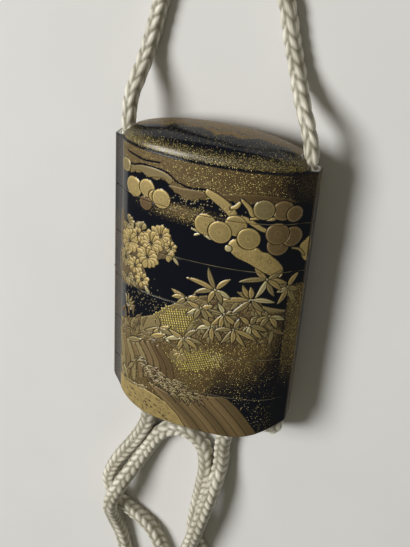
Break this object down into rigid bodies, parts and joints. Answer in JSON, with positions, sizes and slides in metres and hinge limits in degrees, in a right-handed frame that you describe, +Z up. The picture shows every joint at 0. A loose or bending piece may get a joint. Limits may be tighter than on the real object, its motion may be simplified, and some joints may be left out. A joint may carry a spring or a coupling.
{
  "type": "inro case",
  "caption": "Flattened oval lacquered inro with a domed lift-off lid, stacked hollow cases and a braided cord through its side channels.",
  "frame": {"origin": "middle of the underside of the inro as it lies on its back, without the cord and its knot", "axes": "+X across the width, +Y along the inro's height towards the lid, +Z up out of the decorated front"},
  "size_m": [0.0613, 0.2599, 0.0207],
  "materials": {
    "black_lacquer": "polished black lacquer over wood, with gold pictures in low relief",
    "gold_lacquer": "brown lacquer densely sprinkled with gold flakes, polished",
    "silk_cord": "ivory silk, round eight-strand braid"
  },
  "bodies": {
    "root": {"lid": "gold_lacquer", "case_1": "black_lacquer", "case_2": "black_lacquer", "case_3": "black_lacquer", "case_4": "black_lacquer", "case_5": "black_lacquer", "cord": "silk_cord", "cord_knot": "silk_cord"}
  },
  "joints": []
}
